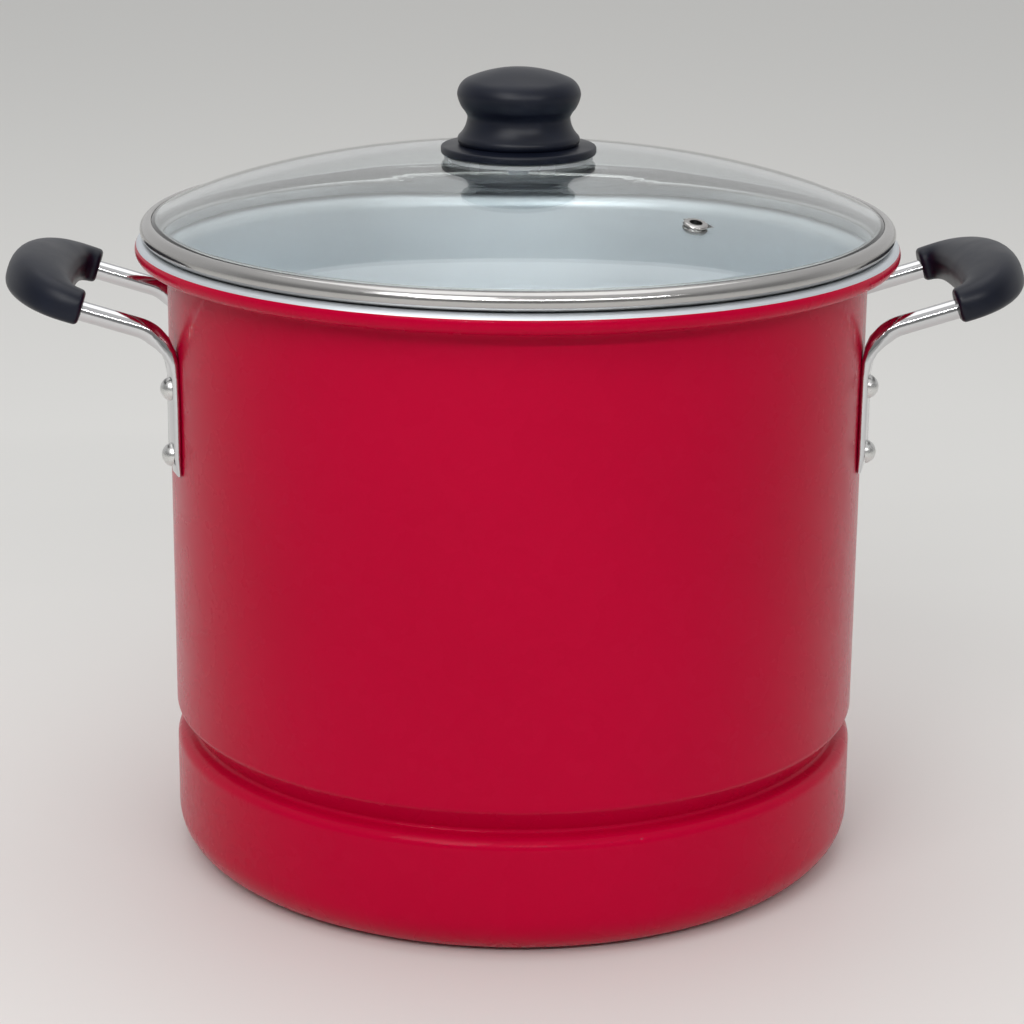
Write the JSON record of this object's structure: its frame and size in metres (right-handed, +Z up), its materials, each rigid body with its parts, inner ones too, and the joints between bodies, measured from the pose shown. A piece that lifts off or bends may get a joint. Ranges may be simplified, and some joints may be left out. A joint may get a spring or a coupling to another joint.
{
  "type": "stock pot",
  "caption": "Tall lidded stock pot with a rolled waist that carries a lift-out steamer rack, a domed glass lid and wire handles with moulded grips.",
  "frame": {"origin": "centre of the underside, on the pot's axis", "axes": "+Z up, the two handles along X, -Y the side towards a person at the hob"},
  "size_m": [0.4134, 0.3094, 0.3241],
  "materials": {
    "enamelled_aluminium": "glossy red enamel outside, bare satin aluminium inside and on the rim's top",
    "plain_aluminium": "satin",
    "clear_glass": "clear, polished",
    "polished_steel": "polished",
    "chromed_rod": "polished",
    "rivet_aluminium": "satin",
    "black_phenolic": "satin black",
    "turned_brass": "turned",
    "clear_silicone": "translucent, satin"
  },
  "bodies": {
    "pot": {"pot_shell": "enamelled_aluminium", "left_handle_rod": "chromed_rod", "right_handle_rod": "chromed_rod", "left_handle_grip": "black_phenolic", "right_handle_grip": "black_phenolic", "right_front_upper_rivet": "rivet_aluminium", "right_front_lower_rivet": "rivet_aluminium", "right_rear_upper_rivet": "rivet_aluminium", "right_rear_lower_rivet": "rivet_aluminium", "left_rear_upper_rivet": "rivet_aluminium", "left_rear_lower_rivet": "rivet_aluminium", "left_front_upper_rivet": "rivet_aluminium", "left_front_lower_rivet": "rivet_aluminium"},
    "lid": {"lid_glass": "clear_glass", "lid_band": "polished_steel", "vent_eyelet": "polished_steel", "knob": "black_phenolic", "knob_insert": "turned_brass", "knob_screw": "polished_steel", "knob_washer": "polished_steel", "knob_gasket_top": "clear_silicone", "knob_gasket_bottom": "clear_silicone"},
    "rack": {"steamer_rack": "plain_aluminium"}
  },
  "joints": [
    {"name": "lid_lift", "type": "slide", "parent": "pot", "child": "lid", "axis": [0, 0, 1], "range_m": [0, 0.3]},
    {"name": "rack_lift", "type": "slide", "parent": "pot", "child": "rack", "axis": [0, 0, 1], "range_m": [0, 0.18]}
  ]
}
